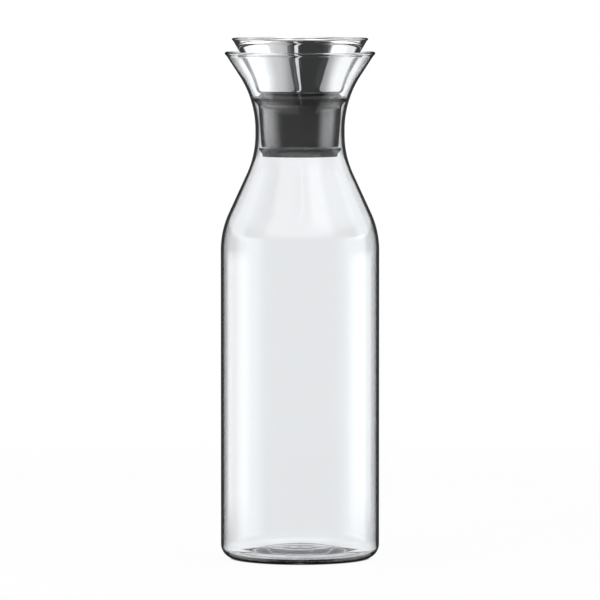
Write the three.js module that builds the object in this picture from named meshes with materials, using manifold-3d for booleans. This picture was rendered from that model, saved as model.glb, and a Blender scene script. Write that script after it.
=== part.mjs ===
// A fridge carafe: one blown glass carafe and the drip-free stopper that stands in its flared neck.
// The stopper is a spun steel funnel clamped to a plastic valve housing, with a silicone sleeve round it
// that seals in the neck. A weighted lid on an off-centre axle closes the funnel's throat. It falls shut when
// the carafe stands and swings open by itself when the carafe is tipped towards +Y.
// Millimetres, +Z up, origin at the middle of the standing ring.
import * as THREE from "three";
import { mergeVertices } from "three/addons/utils/BufferGeometryUtils.js";
import Module from "manifold-3d";

const wasm = await Module();
wasm.setup();

// Glass carafe
const CARAFE_HEIGHT = 272; // to the top of the glass rim
const BODY_DIAMETER = 85;
const BODY_WALL = 1.9;
const FLOOR_THICKNESS = 3.2;
const BASE_CORNER_RADIUS = 7.5;
const STANDING_RING_WIDTH = 5; // the flat ring that the carafe stands on
const STANDING_RING_ROUND = 1.4;
const PUNT_RISE = 2.4; // how far the middle of the base is pushed up
const PUNT_SLOPE_WIDTH = 7;
const PUNT_ROUND = 6;
const INNER_CORNER_ROUND = 7; // inside, where the wall meets the floor
const SHOULDER_ANGLE = 24.7; // degrees between the shoulder cone and the axis
const SHOULDER_ROUND = 48;
const NECK_BORE = 44.6; // the narrowest inside diameter
const NECK_WALL = 1.6;
const NECK_LENGTH = 28.8; // from the end of the shoulder cone to the start of the flare cone, before rounding
const NECK_LOWER_ROUND = 50;
const NECK_UPPER_ROUND = 53;
const FLARE_ANGLE = 31.6; // degrees between the flare cone and the axis
const RIM_DIAMETER = 80.6; // outside, at the top, before the edge is melted round

// Silicone sleeve with two sealing lips. Heights are taken from the top of the upper lip.
const UPPER_LIP_OVERHANG = 2.6; // beyond the neck's bore, where the lip rests in the flare
const UPPER_LIP_THICKNESS = 1.8;
const UPPER_LIP_ROOT_DROP = 2.4; // from the lip's edge down to the sleeve, before the hollow is rounded
const UPPER_LIP_ROUND = 4.5; // the hollow under the lip
const LIP_CLEARANCE = 0.3; // between the lips and the glass
const LOWER_LIP_REACH = 1.4; // how far the lip stands out from the sleeve
const LOWER_LIP_THICKNESS = 0.9;
const LOWER_LIP_HEIGHT = 4.8; // from the bottom of the sleeve to the top of the lower lip
const LOWER_LIP_ROUND = 0.6;
const SLEEVE_LENGTH = 31.8; // from the bottom to the top of the upper lip
const SLEEVE_TAPER = 1.7; // how much wider the sleeve's radius is at the upper lip
const SLEEVE_WALL = 2; // at the lower lip
const SLEEVE_END_HEIGHT = 1.3; // the straight end below the lower lip's slope
const SLEEVE_END_STEP = 0.5; // how far the end lies inside the sleeve's radius
const COLLAR_HEIGHT = 1.7; // the collar above the upper lip
const COLLAR_BEVEL = 1.1;
const SLEEVE_HOOK = 1.5; // the sleeve's end turns in under the housing by this much
const SLEEVE_HOOK_THICKNESS = 1.2;

// Valve housing, the stiff tube inside the sleeve
const PART_GAP = 0.3; // between pieces that are assembled tight
const HOUSING_WALL = 1.6;
const HOUSING_FLANGE_REACH = 1.7;
const HOUSING_FLANGE_THICKNESS = 1.3;
const HOUSING_BEAD = 0.5; // a ring that locks the sleeve in place
const HOUSING_BEAD_HEIGHT = 2.2;
const HOUSING_BEAD_POSITION_SHARE = 0.45; // of the sleeve's length, from the bottom

// Spun steel funnel
const FUNNEL_HEIGHT = 29.6;
const FUNNEL_RIM_DIAMETER = 73;
const FUNNEL_BASE_MARGIN = 3.2; // from the throat ring's flange to the corner of the flat bottom
const FUNNEL_SHEET = 0.7;
const FUNNEL_LOWER_ANGLE = 18; // degrees between the wall and the axis, near the bottom
const FUNNEL_BEND_SHARE = 0.4; // of the funnel's height, where the wall turns outwards
const FUNNEL_BEND_ROUND = 90;
const FUNNEL_CORNER_ROUND = 3;
const FUNNEL_BEAD_RADIUS = 0.65; // the rolled edge

// Throat ring, which snaps into the housing, clamps the funnel and carries the lid
const THROAT_WALL = 1.4;
const THROAT_FLANGE_REACH = 3;
const THROAT_FLANGE_THICKNESS = 1.2;
const THROAT_FLANGE_ROUND = 0.5;
const THROAT_DEPTH = 6.9; // from the top of the upper lip down to the end of the skirt
const SEAT_WIDTH = 2; // of the half-moon seats that the lid closes on
const SEAT_THICKNESS = 1.3;
const SEAT_END_DISTANCE = 1; // from the axle's middle to the end of each seat. It also stops the open lid.
const SNAP_COUNT = 3;
const SNAP_REACH = 0.9;
const SNAP_HEIGHT = 1.8;
const SNAP_LIFT = 0.4; // above the end of the skirt
const SNAP_ANGLE = 24; // degrees round the skirt

// Tipping lid. Heights are taken from the middle of its axle.
const LID_CLEARANCE = 0.7; // all round, so that the lid's corners clear the throat as it turns
const LID_THICKNESS = 2.8;
const LID_EDGE_ROUND = 0.4;
const LID_DOME_RISE = 1.2;
const AXLE_DEPTH = 1.9; // below the top of the upper lip
const AXLE_OFFSET = 3; // from the carafe's axis. The wider side of the lid falls shut.
const AXLE_DIAMETER = 1.8;
const AXLE_ENGAGEMENT = 1.1; // how far each end runs into the throat ring
const AXLE_RUNNING_GAP = 0.1;
const AXLE_PRESS_GAP = 0.05;
const CAP_SHEET = 0.5;
const CAP_MARGIN = 2.6; // from the cap's edge to the lid's edge, so that the open cap clears the rear seat
const WEIGHT_DIAMETER = 7.8;
const WEIGHT_LENGTH = 8.6;
const WEIGHT_OFFSET = 2.5; // from the axle, on the side that lifts
const CUP_WALL = 0.6;
const CUP_DEPTH = 13; // from the axle to the end of the cup that holds the weight
const WEIGHT_RECESS = 0.4; // how far the weight lies inside the cup's mouth

// Fineness of the facets, and the overrun of every cut
const TURN_STEPS = 48;
const HIDDEN_TURN_STEPS = 36;
const CUP_TURN_STEPS = 20;
const DOME_STEPS = 4;
const CHORD_ERROR = 0.08; // between a round and its facets
const COARSEST_STEP = 46; // degrees
const SECTOR_STEPS = 4;
const MERGE_DISTANCE = 0.0001;
const PIN_STEPS = 16;
const BEAD_STEPS = 8;
const CUT_OVERRUN = 1;

const radians = THREE.MathUtils.degToRad;

// Rounds the corners of a line. Each corner is [r, z, radius of its round]. The ends of a line stay sharp.
// Where a stretch is too short for the rounds at its ends, they shrink together until they fit.
function rounded(corners) {
  const points = corners.map(([r, z]) => new THREE.Vector2(r, z));
  const bends = corners.map(([, , radius], i) => {
    if (!radius || i === 0 || i === corners.length - 1) return null;
    const back = points[i - 1].clone().sub(points[i]).normalize();
    const ahead = points[i + 1].clone().sub(points[i]).normalize();
    const half = Math.acos(THREE.MathUtils.clamp(back.dot(ahead), -1, 1)) / 2;
    return { back, ahead, half, reach: radius / Math.tan(half) };
  });
  const fits = points.slice(1).map((point, i) => {
    const reach = (bends[i]?.reach ?? 0) + (bends[i + 1]?.reach ?? 0);
    return Math.min(1, point.distanceTo(points[i]) / reach);
  });
  return points.flatMap((point, i) => {
    if (!bends[i]) return [point];
    const { back, ahead, half } = bends[i];
    const reach = bends[i].reach * Math.min(fits[i - 1], fits[i]);
    const radius = reach * Math.tan(half);
    const start = point.clone().addScaledVector(back, reach);
    const towardsCentre = back.clone().add(ahead).normalize();
    const centre = point.clone().addScaledVector(towardsCentre, reach / Math.cos(half));
    const sweep = (Math.PI - 2 * half) * Math.sign(ahead.cross(back));
    const fineStep = 2 * Math.acos(Math.max(0, 1 - CHORD_ERROR / radius));
    const steps = Math.ceil(Math.abs(sweep) / Math.min(fineStep, radians(COARSEST_STEP)));
    return Array.from({ length: steps + 1 }, (_, k) =>
      start.clone().rotateAround(centre, (sweep * k) / steps),
    );
  });
}

// Moves each stretch of a line to its left by its own wall, and meets the neighbours again at the corners.
function offsetLine(corners, walls) {
  const stretches = walls.map((wall, i) => {
    const start = new THREE.Vector2(corners[i][0], corners[i][1]);
    const along = new THREE.Vector2(corners[i + 1][0], corners[i + 1][1]).sub(start).normalize();
    const left = new THREE.Vector2(-along.y, along.x);
    return { start: start.addScaledVector(left, wall), along, wall };
  });
  return corners.map(([, z, radius = 0], i) => {
    const before = stretches[i - 1] ?? stretches[i];
    const after = stretches[i] ?? before;
    const turn = before.along.cross(after.along);
    if (!turn) {
      const end = i === 0 ? after : before;
      const reach = i === 0 ? 0 : (z - end.start.y) / (end.along.y || 1);
      return [end.start.x + end.along.x * reach, end.start.y + end.along.y * reach, 0];
    }
    const reach = after.start.clone().sub(before.start).cross(after.along) / turn;
    const meet = before.start.clone().addScaledVector(before.along, reach);
    return [meet.x, meet.y, Math.max(0, radius - Math.sign(turn) * (before.wall + after.wall) / 2)];
  });
}

// Reads a line of points that rises outwards: its radius at a height, or its height at a radius.
function readLine(points, known, wanted, value) {
  const found = points.findIndex((point, i) => i > 0 && point[known] >= value);
  const i = found < 0 ? points.length - 1 : found;
  const share = (value - points[i - 1][known]) / (points[i][known] - points[i - 1][known]);
  return THREE.MathUtils.lerp(points[i - 1][wanted], points[i][wanted], share);
}

const radiusAt = (points, height) => readLine(points, "y", "x", height);
const heightAt = (points, radius) => readLine(points, "x", "y", radius);

// Turns an outline in r and z round the Z axis. The outline ends on the axis or where it began.
function turned(points, steps = TURN_STEPS) {
  return new THREE.LatheGeometry(points, steps).rotateX(Math.PI / 2);
}

function closed(points) {
  return [...points, points[0].clone()];
}

// A ring turned from its outline's corners.
function turnedRing(corners, steps) {
  return solidOf(turned(closed(rounded(corners)), steps));
}

// A closed geometry as a manifold-3d solid, with its faces turned to point out.
function solidOf(geometry) {
  const bare = geometry.index ? geometry.toNonIndexed() : geometry.clone();
  bare.deleteAttribute("normal");
  bare.deleteAttribute("uv");
  const { attributes, index } = mergeVertices(bare, MERGE_DISTANCE);
  const corners = [];
  for (let i = 0; i < index.count; i += 3) {
    const [a, b, c] = [index.getX(i), index.getX(i + 1), index.getX(i + 2)];
    if (a !== b && b !== c && c !== a) corners.push([a, b, c]);
  }
  const build = (triangles) =>
    new wasm.Manifold(
      new wasm.Mesh({
        numProp: 3,
        vertProperties: attributes.position.array,
        triVerts: new Uint32Array(triangles.flat()),
      }),
    );
  const solid = build(corners);
  return solid.volume() > 0 ? solid : build(corners.map(([a, b, c]) => [a, c, b]));
}

function geometryOf(solid) {
  const mesh = solid.getMesh();
  const geometry = new THREE.BufferGeometry();
  geometry.setAttribute("position", new THREE.BufferAttribute(mesh.vertProperties, 3));
  geometry.setIndex(new THREE.BufferAttribute(mesh.triVerts, 1));
  const faceted = geometry.toNonIndexed();
  faceted.computeVertexNormals();
  return faceted;
}

// A sector of a ring, standing on z = bottom, centred on an angle in degrees.
function ringSector(inner, outer, bottom, height, centreAngle, width) {
  const from = radians(centreAngle - width / 2);
  const to = radians(centreAngle + width / 2);
  const shape = new THREE.Shape();
  shape.absarc(0, 0, outer, from, to, false);
  shape.absarc(0, 0, inner, to, from, true);
  const options = { depth: height, bevelEnabled: false, curveSegments: SECTOR_STEPS };
  return solidOf(new THREE.ExtrudeGeometry(shape, options).translate(0, 0, bottom));
}

// A round bar along X.
function barAlongX(radius, length) {
  return solidOf(new THREE.CylinderGeometry(radius, radius, length, PIN_STEPS).rotateZ(Math.PI / 2));
}

// Points of a shallow dome from its edge to its top on the axis.
function dome(edgeRadius, edgeHeight, rise) {
  const ball = (edgeRadius ** 2 + rise ** 2) / (2 * rise);
  const edgeAngle = Math.asin(edgeRadius / ball);
  return Array.from({ length: DOME_STEPS + 1 }, (_, k) => {
    const angle = edgeAngle * (1 - k / DOME_STEPS);
    return new THREE.Vector2(ball * Math.sin(angle), edgeHeight + rise - ball * (1 - Math.cos(angle)));
  });
}

// Glass carafe

const bodyRadius = BODY_DIAMETER / 2;
const neckRadius = NECK_BORE / 2 + NECK_WALL;
const rimRadius = RIM_DIAMETER / 2;
const flareStart = CARAFE_HEIGHT - (rimRadius - neckRadius) / Math.tan(radians(FLARE_ANGLE));
const neckStart = flareStart - NECK_LENGTH;
const shoulderStart = neckStart - (bodyRadius - neckRadius) / Math.tan(radians(SHOULDER_ANGLE));
const standingRingOuter = bodyRadius - BASE_CORNER_RADIUS;
const standingRingInner = standingRingOuter - STANDING_RING_WIDTH;

const baseOutside = [
  [0, PUNT_RISE],
  [standingRingInner - PUNT_SLOPE_WIDTH, PUNT_RISE, PUNT_ROUND],
  [standingRingInner, 0, STANDING_RING_ROUND],
];
const wallOutside = [
  [bodyRadius, 0, BASE_CORNER_RADIUS],
  [bodyRadius, shoulderStart, SHOULDER_ROUND],
  [neckRadius, neckStart, NECK_LOWER_ROUND],
  [neckRadius, flareStart, NECK_UPPER_ROUND],
  [rimRadius, CARAFE_HEIGHT],
];
const [, ...wallInside] = offsetLine(wallOutside, [BODY_WALL, BODY_WALL, NECK_WALL, NECK_WALL]);
const insideLine = rounded([
  [0, PUNT_RISE + FLOOR_THICKNESS],
  [bodyRadius - BODY_WALL, FLOOR_THICKNESS, INNER_CORNER_ROUND],
  ...wallInside,
]);
const flareInside = insideLine.filter((point) => point.y > (neckStart + flareStart) / 2);

function glassCarafe() {
  const rimRound = NECK_WALL / 2;
  const [innerRimRadius] = wallInside.at(-1);
  const outside = rounded([...baseOutside, ...wallOutside]);
  const rim = rounded([
    outside.at(-2).toArray(),
    [rimRadius, CARAFE_HEIGHT, rimRound],
    [innerRimRadius, CARAFE_HEIGHT, rimRound],
    insideLine.at(-2).toArray(),
  ]).slice(1, -1);
  return solidOf(turned([...outside.slice(0, -1), ...rim, ...insideLine.slice(0, -1).reverse()]));
}

// Stopper. Its heights start at the top of the upper lip, and its radii run inwards from the neck's bore.

const upperLipRadius = NECK_BORE / 2 + UPPER_LIP_OVERHANG;
const lipSeatHeight = heightAt(flareInside, upperLipRadius + LIP_CLEARANCE);
const lowerLipRadius = NECK_BORE / 2 - LIP_CLEARANCE;
const sleeveLowRadius = lowerLipRadius - LOWER_LIP_REACH;
const sleeveHighRadius = sleeveLowRadius + SLEEVE_TAPER;
const sleeveBore = sleeveLowRadius - SLEEVE_WALL;
const sleeveBottom = -SLEEVE_LENGTH;
const housingOuter = sleeveBore - PART_GAP;
const housingInner = housingOuter - HOUSING_WALL;
const housingFlangeRadius = housingOuter + HOUSING_FLANGE_REACH;
const housingBottom = sleeveBottom + SLEEVE_HOOK_THICKNESS + PART_GAP;
const lockHeight = sleeveBottom + SLEEVE_LENGTH * HOUSING_BEAD_POSITION_SHARE;
const throatOuter = housingInner - PART_GAP;
const throatInner = throatOuter - THROAT_WALL;
const funnelBottom = COLLAR_HEIGHT + PART_GAP;
const throatFlangeBottom = funnelBottom + FUNNEL_SHEET + PART_GAP;
const throatTop = throatFlangeBottom + THROAT_FLANGE_THICKNESS;
const throatBottom = -THROAT_DEPTH;
const axleHeight = -AXLE_DEPTH;
const lidRadius = throatInner - LID_CLEARANCE;

function sealSleeve() {
  const lipUnderside = -UPPER_LIP_THICKNESS;
  const lipUndersideRadius = radiusAt(flareInside, lipSeatHeight + lipUnderside) - LIP_CLEARANCE;
  const lowerLipTop = sleeveBottom + LOWER_LIP_HEIGHT;
  const flangeSeat = COLLAR_HEIGHT - HOUSING_FLANGE_THICKNESS - PART_GAP;
  const endRadius = sleeveLowRadius - SLEEVE_END_STEP;
  const grooveHalf = HOUSING_BEAD_HEIGHT / 2 + PART_GAP;
  const outline = [
    [sleeveBore - SLEEVE_HOOK, sleeveBottom],
    [endRadius, sleeveBottom],
    [endRadius, sleeveBottom + SLEEVE_END_HEIGHT, LOWER_LIP_ROUND],
    [lowerLipRadius, lowerLipTop - LOWER_LIP_THICKNESS],
    [lowerLipRadius, lowerLipTop],
    [sleeveLowRadius, lowerLipTop, LOWER_LIP_ROUND],
    [sleeveHighRadius, lipUnderside - UPPER_LIP_ROOT_DROP, UPPER_LIP_ROUND],
    [lipUndersideRadius, lipUnderside],
    [upperLipRadius, 0],
    [sleeveHighRadius, 0],
    [sleeveHighRadius, COLLAR_HEIGHT - COLLAR_BEVEL],
    [sleeveHighRadius - COLLAR_BEVEL, COLLAR_HEIGHT],
    [housingFlangeRadius + PART_GAP, COLLAR_HEIGHT],
    [housingFlangeRadius + PART_GAP, flangeSeat],
    [sleeveBore, flangeSeat],
    [sleeveBore, lockHeight + grooveHalf],
    [sleeveBore + HOUSING_BEAD, lockHeight],
    [sleeveBore, lockHeight - grooveHalf],
    [sleeveBore, sleeveBottom + SLEEVE_HOOK_THICKNESS],
    [sleeveBore - SLEEVE_HOOK, sleeveBottom + SLEEVE_HOOK_THICKNESS],
  ];
  return turnedRing(outline, TURN_STEPS);
}

function snapSectors(inner, outer, bottom, height, width) {
  return Array.from({ length: SNAP_COUNT }, (_, i) =>
    ringSector(inner, outer, bottom, height, 90 + (360 * i) / SNAP_COUNT, width),
  );
}

function valveHousing() {
  const outline = [
    [housingInner, housingBottom],
    [housingOuter, housingBottom],
    [housingOuter, lockHeight - HOUSING_BEAD_HEIGHT / 2],
    [housingOuter + HOUSING_BEAD, lockHeight],
    [housingOuter, lockHeight + HOUSING_BEAD_HEIGHT / 2],
    [housingOuter, COLLAR_HEIGHT - HOUSING_FLANGE_THICKNESS],
    [housingFlangeRadius, COLLAR_HEIGHT - HOUSING_FLANGE_THICKNESS],
    [housingFlangeRadius, COLLAR_HEIGHT],
    [housingInner, COLLAR_HEIGHT],
  ];
  const slots = snapSectors(
    housingInner - CUT_OVERRUN,
    housingOuter + CUT_OVERRUN,
    throatBottom + SNAP_LIFT - PART_GAP,
    SNAP_HEIGHT + 2 * PART_GAP,
    SNAP_ANGLE + (360 * PART_GAP) / (Math.PI * housingInner),
  );
  return slots.reduce((body, slot) => body.subtract(slot), turnedRing(outline, HIDDEN_TURN_STEPS));
}

function steelFunnel() {
  const baseRadius = throatOuter + THROAT_FLANGE_REACH + FUNNEL_BASE_MARGIN;
  const bendHeight = FUNNEL_HEIGHT * FUNNEL_BEND_SHARE;
  const bendRadius = baseRadius + bendHeight * Math.tan(radians(FUNNEL_LOWER_ANGLE));
  const beadRingRadius = FUNNEL_RIM_DIAMETER / 2 - FUNNEL_BEAD_RADIUS;
  const beadHeight = FUNNEL_HEIGHT - FUNNEL_BEAD_RADIUS;
  const hole = throatOuter + PART_GAP;
  const outside = [
    [hole, 0],
    [baseRadius, 0, FUNNEL_CORNER_ROUND],
    [bendRadius, bendHeight, FUNNEL_BEND_ROUND],
    [beadRingRadius + FUNNEL_SHEET / 2, beadHeight],
  ];
  const sheet = outside.slice(1).map(() => FUNNEL_SHEET);
  const inside = offsetLine(outside, sheet);
  const wall = turned(closed([...rounded(outside), ...rounded(inside).reverse()]));
  const bead = new THREE.TorusGeometry(beadRingRadius, FUNNEL_BEAD_RADIUS, BEAD_STEPS, TURN_STEPS);
  return solidOf(wall).add(solidOf(bead.translate(0, 0, beadHeight)));
}

function throatRing() {
  const flangeRadius = throatOuter + THROAT_FLANGE_REACH;
  const midWall = throatInner + THROAT_WALL / 2;
  const skirt = turnedRing(
    [
      [throatInner, throatBottom],
      [throatOuter, throatBottom],
      [throatOuter, throatFlangeBottom],
      [flangeRadius, throatFlangeBottom],
      [flangeRadius, throatTop, THROAT_FLANGE_ROUND],
      [throatInner, throatTop],
    ],
    HIDDEN_TURN_STEPS,
  );
  const seat = (bottom, top, side) => {
    const outline = [
      [throatInner - SEAT_WIDTH, bottom],
      [midWall, bottom],
      [midWall, top],
      [throatInner - SEAT_WIDTH, top],
    ];
    return turnedRing(outline, HIDDEN_TURN_STEPS).intersect(halfSpace(side));
  };
  const halfSpace = (side) => {
    const reach = 2 * throatOuter;
    const box = new THREE.BoxGeometry(2 * reach, reach, 2 * reach);
    return solidOf(box.translate(0, side * (reach / 2 + SEAT_END_DISTANCE) - AXLE_OFFSET, 0));
  };
  const frontSeatTop = axleHeight - LID_THICKNESS / 2 - PART_GAP;
  const frontSeat = seat(frontSeatTop - SEAT_THICKNESS, frontSeatTop, 1);
  const rearSeat = seat(axleHeight + LID_THICKNESS / 2 + PART_GAP, throatTop, -1);
  const snaps = snapSectors(
    midWall,
    throatOuter + SNAP_REACH,
    throatBottom + SNAP_LIFT,
    SNAP_HEIGHT,
    SNAP_ANGLE,
  );
  const bearing = barAlongX(AXLE_DIAMETER / 2 + AXLE_RUNNING_GAP, 2 * (throatOuter + CUT_OVERRUN));
  return snaps
    .reduce((body, snap) => body.add(snap), skirt.add(frontSeat).add(rearSeat))
    .subtract(bearing.translate(0, -AXLE_OFFSET, axleHeight));
}

// The lid and what turns with it. The middle of the axle is the origin, and the lid's own middle lies on +Y.

const lidTop = LID_THICKNESS / 2;
const capRadius = lidRadius - CAP_MARGIN;

// An upright cylinder under the lid, in line with the weight, with its top at the height given.
function hangingCylinder(radius, length, top) {
  const cylinder = new THREE.CylinderGeometry(radius, radius, length, CUP_TURN_STEPS).rotateX(Math.PI / 2);
  return solidOf(cylinder.translate(0, WEIGHT_OFFSET, top - length / 2));
}

function flipLid() {
  const disc = turned(
    [
      ...rounded([
        [0, -lidTop],
        [lidRadius, -lidTop, LID_EDGE_ROUND],
        [lidRadius, lidTop, LID_EDGE_ROUND],
        [capRadius, lidTop],
      ]).slice(0, -1),
      ...dome(capRadius, lidTop, LID_DOME_RISE),
    ],
    HIDDEN_TURN_STEPS,
  ).translate(0, AXLE_OFFSET, 0);
  const weightBore = WEIGHT_DIAMETER / 2 + PART_GAP;
  const boreDepth = WEIGHT_RECESS + WEIGHT_LENGTH + PART_GAP;
  const cup = hangingCylinder(weightBore + CUP_WALL, CUP_DEPTH, 0);
  const bore = hangingCylinder(weightBore, boreDepth + CUT_OVERRUN, boreDepth - CUP_DEPTH);
  const axleHole = barAlongX(AXLE_DIAMETER / 2 + AXLE_PRESS_GAP, 2 * (lidRadius + CUT_OVERRUN));
  return solidOf(disc).add(cup).subtract(bore).subtract(axleHole);
}

function lidCap() {
  const underside = dome(capRadius, lidTop + PART_GAP, LID_DOME_RISE);
  const top = dome(capRadius, lidTop + PART_GAP + CAP_SHEET, LID_DOME_RISE);
  return solidOf(turned([...underside.reverse(), ...top], HIDDEN_TURN_STEPS).translate(0, AXLE_OFFSET, 0));
}

function lidAxle() {
  const wallAtAxle = Math.sqrt(throatInner ** 2 - AXLE_OFFSET ** 2);
  return barAlongX(AXLE_DIAMETER / 2, 2 * (wallAtAxle + AXLE_ENGAGEMENT));
}

function lidWeight() {
  return hangingCylinder(WEIGHT_DIAMETER / 2, WEIGHT_LENGTH, WEIGHT_RECESS + WEIGHT_LENGTH - CUP_DEPTH);
}

// Materials

const glass = new THREE.MeshStandardMaterial({
  color: 0xf1f5f4,
  roughness: 0.03,
  metalness: 0,
  transparent: true,
  opacity: 0.3,
});
const polishedSteel = new THREE.MeshStandardMaterial({ color: 0xcfd1d2, roughness: 0.08, metalness: 1 });
const plainSteel = new THREE.MeshStandardMaterial({ color: 0xa9abad, roughness: 0.3, metalness: 1 });
const blackSilicone = new THREE.MeshStandardMaterial({ color: 0x2e2d2d, roughness: 0.5, metalness: 0 });
const blackPlastic = new THREE.MeshStandardMaterial({ color: 0x1c1c1e, roughness: 0.35, metalness: 0 });

function piece(name, solid, material) {
  const mesh = new THREE.Mesh(geometryOf(solid), material);
  mesh.name = name;
  return mesh;
}

// Assembly

const lid = new THREE.Group();
lid.position.set(0, -AXLE_OFFSET, axleHeight);
lid.add(
  piece("flip_lid", flipLid(), blackPlastic),
  piece("lid_cap", lidCap(), polishedSteel),
  piece("lid_axle", lidAxle(), plainSteel),
  piece("lid_weight", lidWeight(), plainSteel),
);

const funnel = piece("steel_funnel", steelFunnel(), polishedSteel);
funnel.position.z = funnelBottom;

const stopper = new THREE.Group();
stopper.position.z = lipSeatHeight;
stopper.add(
  piece("seal_sleeve", sealSleeve(), blackSilicone),
  piece("valve_housing", valveHousing(), blackPlastic),
  piece("throat_ring", throatRing(), blackPlastic),
  funnel,
  lid,
);

const carafe = new THREE.Group();
carafe.add(piece("glass_carafe", glassCarafe(), glass), stopper);

export default carafe;
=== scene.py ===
"""The looks of a slim fridge carafe with a flared neck and a drip-free stopper.

The pieces are surfaces of turn, worked out from named sizes in millimetres and written in metres.
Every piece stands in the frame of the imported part, with +Z up and the origin under the middle of the base.
"""

from __future__ import annotations

import logging
import math
from dataclasses import dataclass
from enum import Enum
from typing import Any, Sequence, Union

import bpy
import numpy as np
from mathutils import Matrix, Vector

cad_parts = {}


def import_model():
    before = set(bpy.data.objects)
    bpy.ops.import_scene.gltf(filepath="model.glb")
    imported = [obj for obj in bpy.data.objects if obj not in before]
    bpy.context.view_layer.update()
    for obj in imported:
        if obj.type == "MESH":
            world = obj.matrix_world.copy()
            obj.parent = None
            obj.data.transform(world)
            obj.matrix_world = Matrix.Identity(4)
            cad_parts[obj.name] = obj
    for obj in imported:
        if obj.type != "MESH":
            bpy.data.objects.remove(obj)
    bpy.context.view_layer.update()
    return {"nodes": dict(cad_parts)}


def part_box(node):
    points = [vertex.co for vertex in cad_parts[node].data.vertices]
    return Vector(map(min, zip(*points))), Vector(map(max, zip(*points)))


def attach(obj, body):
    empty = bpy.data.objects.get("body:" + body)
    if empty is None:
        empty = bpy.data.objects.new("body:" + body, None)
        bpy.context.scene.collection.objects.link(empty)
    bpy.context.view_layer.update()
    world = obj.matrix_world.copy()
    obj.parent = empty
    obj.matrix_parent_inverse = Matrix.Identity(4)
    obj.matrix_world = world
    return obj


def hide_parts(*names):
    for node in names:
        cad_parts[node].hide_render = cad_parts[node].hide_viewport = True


log = logging.getLogger("carafe")

MM = 0.001
TINY = 1e-6  # millimetres under which two places are one
TURN_STEPS = 160  # sides of a turned piece
STUDIO_STEPS = 96  # sides of the floor and of the wall with the light strips
FLOOR_POINTS = 150  # points of the outline across the pressed floor
BEAD_POINTS = 28
JOIN_GAP = 0.05  # millimetres kept free where two stretches of an outline meet
CHORD_ERROR = 0.006  # millimetres between a round and its facets
COARSEST_STEP = math.radians(12)
SHARP_ANGLE = math.radians(38)
BOUNCED = 0.5  # a path's depth is above this from its first bounce
BEHIND_GLASS = 2.5  # its transmission depth is above this when it has met a surface behind the glass


# Outlines


@dataclass(frozen=True)
class Corner:
    """A corner of an outline: its radius and height, and how far it is rounded, in millimetres."""

    r: float
    z: float
    rounding: float = 0.0

    def raised(self, height: float) -> "Corner":
        """Returns the same corner, higher by a height."""
        return Corner(self.r, self.z + height, self.rounding)


def rounded_line(corners: Sequence[Corner]) -> np.ndarray:
    """Rounds the corners of a line with circular arcs that touch both neighbouring stretches.

    Each arc reaches radius / tan(half the corner's angle) along both stretches. Where a stretch is too short
    for the arcs at its ends, they shrink together until they fit.

    Args:
        corners: The line's corners in order. The first and last stay sharp.

    Returns:
        An array of points, one row of radius and height each.
    """
    points = np.array([(c.r, c.z) for c in corners], float)
    reach = np.zeros(len(corners))
    half = np.full(len(corners), math.pi / 2)
    for i in range(1, len(corners) - 1):
        if corners[i].rounding:
            back, ahead = _unit(points[i - 1] - points[i]), _unit(points[i + 1] - points[i])
            half[i] = math.acos(float(np.clip(back @ ahead, -1, 1))) / 2
            reach[i] = corners[i].rounding / math.tan(half[i])
    lengths = np.linalg.norm(np.diff(points, axis=0), axis=1)
    fits = np.minimum(1.0, lengths / np.maximum(reach[:-1] + reach[1:], TINY))
    pieces = []
    for i, point in enumerate(points):
        if reach[i]:
            pieces.append(_arc(points[i - 1 : i + 2], half[i], reach[i] * min(fits[i - 1], fits[i])))
        else:
            pieces.append(point[None, :])
    return np.concatenate(pieces)


def _arc(corner: np.ndarray, half: float, reach: float) -> np.ndarray:
    """Works out the arc that rounds one corner.

    Its centre lies reach / cos(half) from the corner, midway between the stretches, and it turns through 180
    degrees less the corner's angle.

    Args:
        corner: The points before, at and after the corner.
        half: Half the angle between the corner's two stretches, in radians.
        reach: How far along each stretch the arc begins or ends.

    Returns:
        The arc's points.
    """
    before, point, after = corner
    back, ahead = _unit(before - point), _unit(after - point)
    centre = point + _unit(back + ahead) * reach / math.cos(half)
    turn = math.pi - 2 * half
    sign = math.copysign(1.0, float(ahead[0] * back[1] - ahead[1] * back[0]))
    finest = 2 * math.acos(max(0.0, 1 - CHORD_ERROR / (reach * math.tan(half))))
    steps = max(2, math.ceil(turn / min(finest, COARSEST_STEP)))
    angles = sign * turn * np.arange(steps + 1) / steps
    spoke = point + back * reach - centre
    cos, sin = np.cos(angles), np.sin(angles)
    return centre + np.stack([spoke[0] * cos - spoke[1] * sin, spoke[0] * sin + spoke[1] * cos], axis=1)


def _unit(vector: np.ndarray) -> np.ndarray:
    """Returns a vector of the same direction and length 1."""
    return vector / np.linalg.norm(vector)


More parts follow.
